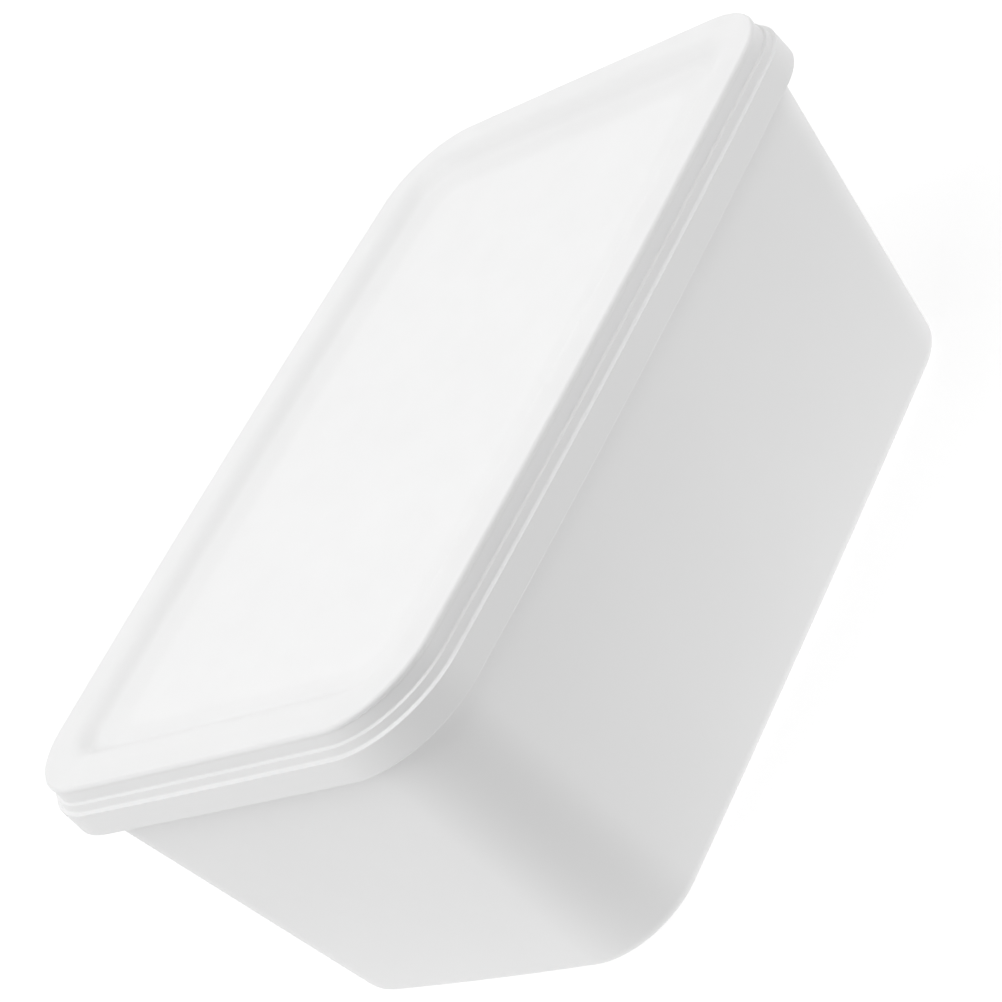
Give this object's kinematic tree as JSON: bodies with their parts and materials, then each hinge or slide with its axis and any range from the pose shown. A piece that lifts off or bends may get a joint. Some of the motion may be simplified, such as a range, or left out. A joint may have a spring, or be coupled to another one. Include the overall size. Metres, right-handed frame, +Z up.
{
  "type": "ice cream storage box",
  "caption": "Rectangular tapered plastic tub with rounded corners, shut by a press-on lid that has a stepped side, a skirt and a shallow recess in its top.",
  "frame": {"origin": "middle of the tub's footprint, on the surface it stands on", "axes": "+X along the tub's length, +Y across it, +Z up through the lid"},
  "size_m": [0.1836, 0.1148, 0.0768],
  "materials": {
    "tub_plastic": "plain white moulded polypropylene, satin",
    "lid_plastic": "plain white moulded polypropylene, satin"
  },
  "bodies": {
    "root": {"tub": "tub_plastic", "lid": "lid_plastic"}
  },
  "joints": []
}
